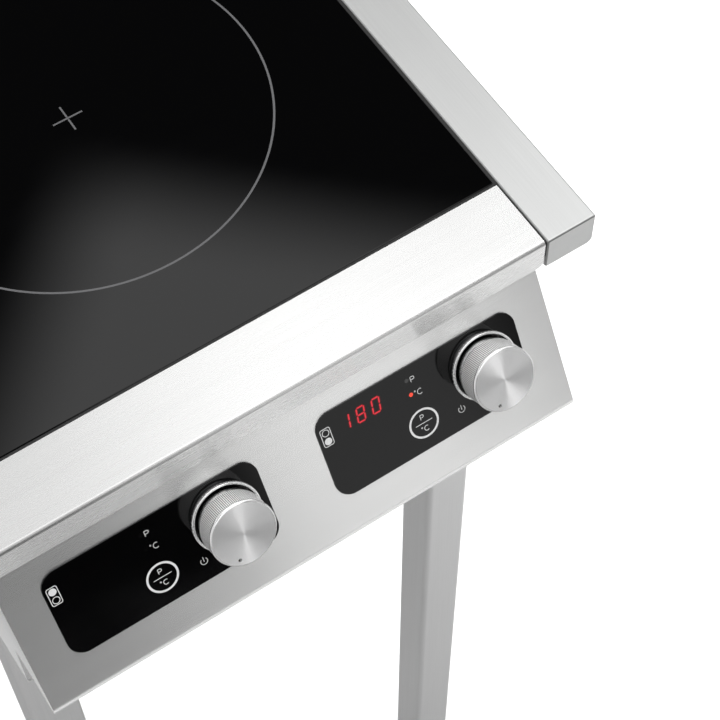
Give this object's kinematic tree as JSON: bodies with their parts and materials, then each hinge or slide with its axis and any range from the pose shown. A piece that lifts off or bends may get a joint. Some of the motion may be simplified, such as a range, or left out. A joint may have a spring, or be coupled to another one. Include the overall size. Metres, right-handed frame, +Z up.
{
  "type": "induction hob",
  "caption": "Floor-standing induction hob with front and rear zones under one glass, slanted control panel with turning knobs, on a tall open stand with levelling feet.",
  "frame": {"origin": "on the floor, under the centre of the whole object's bounding box", "axes": "+Z up, -Y towards the cook (control panel side), +X to the cook's right"},
  "size_m": [0.4, 0.7444, 0.85],
  "materials": {
    "rail_steel": "fine brushed stainless steel, grain along the rail",
    "panel_steel": "brushed stainless steel, grain across the panel",
    "body_steel": "brushed stainless steel sheet",
    "stand_steel": "satin stainless steel tube",
    "foot_steel": "turned stainless steel",
    "fastener_steel": "bright zinc-plated steel",
    "sensor_steel": "bare steel",
    "polished_steel": "polished ring",
    "knob_aluminium": "turned and radially brushed aluminium",
    "black_glass": "opaque black glass-ceramic, polished",
    "seal_rubber": "matt black silicone",
    "overlay_black": "glossy black control overlay",
    "display_module": "smoked red seven-segment display",
    "led_lens": "diffuse lens",
    "circuit_board": "green solder mask",
    "black_plastic": "black moulded plastic",
    "white_plastic": "natural acetal",
    "former_plastic": "heat-resistant moulding",
    "terminal_plastic": "pale grey moulding",
    "gland_plastic": "dark grey polyamide",
    "wire_insulation": "silicone insulation",
    "copper_litz": "varnished copper litz",
    "mica": "mica insulation",
    "ferrite": "sintered ferrite",
    "aluminium_plate": "mill-finish sheet",
    "sink_aluminium": "extruded",
    "capacitor_case": "sleeved cans and boxes"
  },
  "bodies": {
    "housing": {"front_rail": "rail_steel", "rear_rail": "rail_steel", "side_rail_left": "rail_steel", "side_rail_right": "rail_steel", "rail_joint_seals": "seal_rubber", "glass_plate": "black_glass", "glass_seal": "seal_rubber", "glass_carrier": "body_steel", "worktop_bolts": "fastener_steel", "side_panel_left": "body_steel", "side_panel_right": "body_steel", "back_panel": "body_steel", "bottom_panel": "body_steel", "control_panel": "panel_steel", "knob_bezels": "polished_steel", "encoder_housings": "black_plastic", "control_board": "circuit_board", "indicator_leds": "led_lens", "key_switches": "black_plastic", "coil_plates": "aluminium_plate", "coil_formers": "former_plastic", "coil_windings": "copper_litz", "mica_sheets": "mica", "ferrite_bars": "ferrite", "temperature_sensors": "sensor_steel", "fan_frames": "black_plastic", "heat_sinks": "sink_aluminium", "capacitors": "capacitor_case", "filter_board": "circuit_board", "terminal_block": "terminal_plastic", "cable_gland": "gland_plastic", "internal_wiring": "wire_insulation", "body_screws": "fastener_steel", "stand_frame": "stand_steel", "stand_bolts": "fastener_steel", "leg_inserts": "black_plastic", "overlay_right": "overlay_black", "display_right": "display_module", "overlay_left": "overlay_black", "display_left": "display_module", "generator_board_front": "circuit_board", "leg_front_left": "stand_steel", "leg_front_right": "stand_steel", "generator_board_rear": "circuit_board", "leg_rear_left": "stand_steel", "leg_rear_right": "stand_steel"},
    "encoder_right": {"encoder_rotor_right": "white_plastic"},
    "encoder_left": {"encoder_rotor_left": "white_plastic"},
    "knob_right": {"knob_right": "knob_aluminium", "knob_shaft_right": "fastener_steel"},
    "knob_left": {"knob_left": "knob_aluminium", "knob_shaft_left": "fastener_steel"},
    "mode_key_right": {"mode_key_right": "overlay_black"},
    "mode_key_left": {"mode_key_left": "overlay_black"},
    "fan_rotor_front": {"fan_rotor_front": "black_plastic"},
    "fan_rotor_rear": {"fan_rotor_rear": "black_plastic"},
    "foot_front_left": {"foot_front_left": "foot_steel"},
    "foot_front_right": {"foot_front_right": "foot_steel"},
    "foot_rear_left": {"foot_rear_left": "foot_steel"},
    "foot_rear_right": {"foot_rear_right": "foot_steel"}
  },
  "joints": [
    {"name": "knob_right_turn", "type": "hinge", "parent": "housing", "child": "encoder_right", "pos_m": [0.1192, -0.34419, 0.79426], "axis": [0, -0.8607, 0.509], "continuous": true},
    {"name": "knob_right_press", "type": "slide", "parent": "encoder_right", "child": "knob_right", "axis": [0, 0.8607, -0.509], "range_m": [0, 0.001], "stiffness_N_per_m": 1500, "springref_m": -0.002},
    {"name": "mode_key_right_press", "type": "slide", "parent": "housing", "child": "mode_key_right", "axis": [0, 0.8607, -0.509], "range_m": [0, 0.0005], "stiffness_N_per_m": 1500, "springref_m": -0.001},
    {"name": "knob_left_turn", "type": "hinge", "parent": "housing", "child": "encoder_left", "pos_m": [-0.042, -0.34419, 0.79426], "axis": [0, -0.8607, 0.509], "continuous": true},
    {"name": "knob_left_press", "type": "slide", "parent": "encoder_left", "child": "knob_left", "axis": [0, 0.8607, -0.509], "range_m": [0, 0.001], "stiffness_N_per_m": 1500, "springref_m": -0.002},
    {"name": "mode_key_left_press", "type": "slide", "parent": "housing", "child": "mode_key_left", "axis": [0, 0.8607, -0.509], "range_m": [0, 0.0005], "stiffness_N_per_m": 1500, "springref_m": -0.001},
    {"name": "fan_front_spin", "type": "hinge", "parent": "housing", "child": "fan_rotor_front", "pos_m": [0.092, -0.1181, 0.714], "axis": [0, 0, 1], "continuous": true},
    {"name": "fan_rear_spin", "type": "hinge", "parent": "housing", "child": "fan_rotor_rear", "pos_m": [0.092, 0.1625, 0.714], "axis": [0, 0, 1], "continuous": true},
    {"name": "foot_front_left_screw", "type": "slide", "parent": "housing", "child": "foot_front_left", "axis": [0, 0, -1], "range_m": [0, 0.03]},
    {"name": "foot_front_right_screw", "type": "slide", "parent": "housing", "child": "foot_front_right", "axis": [0, 0, -1], "range_m": [0, 0.03]},
    {"name": "foot_rear_left_screw", "type": "slide", "parent": "housing", "child": "foot_rear_left", "axis": [0, 0, -1], "range_m": [0, 0.03]},
    {"name": "foot_rear_right_screw", "type": "slide", "parent": "housing", "child": "foot_rear_right", "axis": [0, 0, -1], "range_m": [0, 0.03]}
  ]
}
